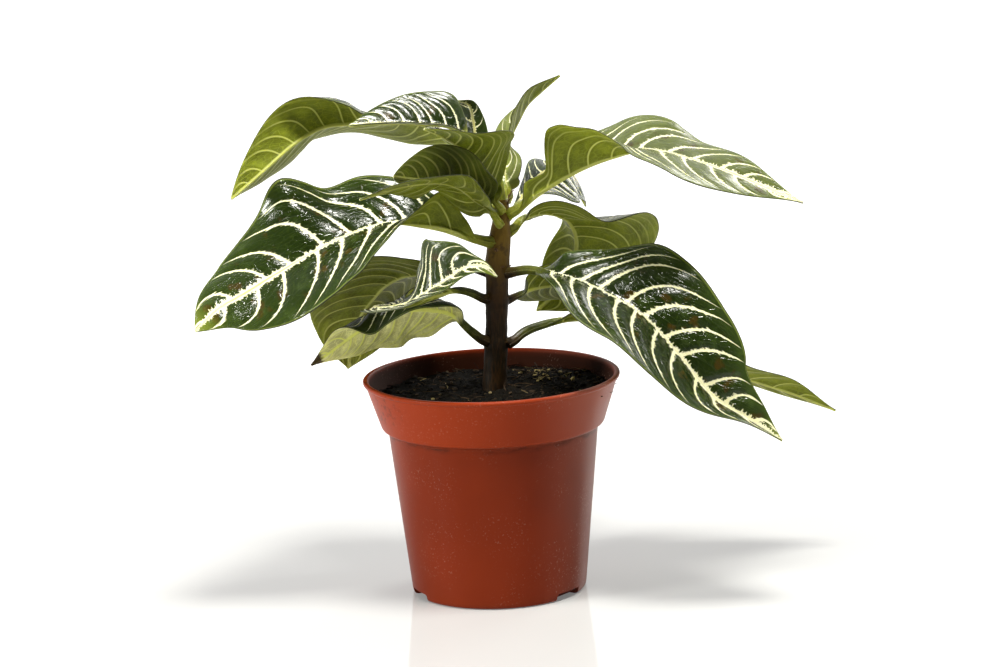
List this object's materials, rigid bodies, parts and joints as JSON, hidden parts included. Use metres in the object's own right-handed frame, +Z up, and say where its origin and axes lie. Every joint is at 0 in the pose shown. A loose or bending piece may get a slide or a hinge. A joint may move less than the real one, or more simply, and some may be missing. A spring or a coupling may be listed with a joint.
{
  "type": "potted zebra plant",
  "caption": "House plant with glossy white-veined leaves in crossed pairs on one upright stem, growing in soil in a flared plastic nursery pot.",
  "frame": {"origin": "middle of the pot's flat underside, on the surface that the pot stands on", "axes": "+Z up along the pot's middle line, -Y towards the side seen in the picture, +X to the right there, along the longest reach of the leaves"},
  "size_m": [0.3238, 0.1609, 0.2605],
  "materials": {
    "pot_plastic": "satin",
    "soil": "matte",
    "stem_bark": "matte",
    "leaf_dark_green": "gloss",
    "leaf_olive": "satin",
    "leaf_yellow_green": "satin"
  },
  "bodies": {
    "root": {"pot": "pot_plastic", "soil": "soil", "stem": "stem_bark", "leaf_striped_left": "leaf_dark_green", "leaf_turned_left": "leaf_dark_green", "leaf_small_right": "leaf_dark_green", "leaf_broad_right": "leaf_dark_green", "leaf_broad_left": "leaf_dark_green", "leaf_short_right": "leaf_dark_green", "leaf_long_right": "leaf_dark_green", "leaf_low_left": "leaf_olive", "leaf_hanging_left": "leaf_olive", "leaf_narrow_left": "leaf_olive", "leaf_arching_left": "leaf_olive", "leaf_young_left": "leaf_olive", "leaf_young_back": "leaf_olive", "leaf_crown_left": "leaf_olive", "leaf_low_right": "leaf_yellow_green", "leaf_bent_right": "leaf_yellow_green", "leaf_crown_tip": "leaf_yellow_green"}
  },
  "joints": []
}
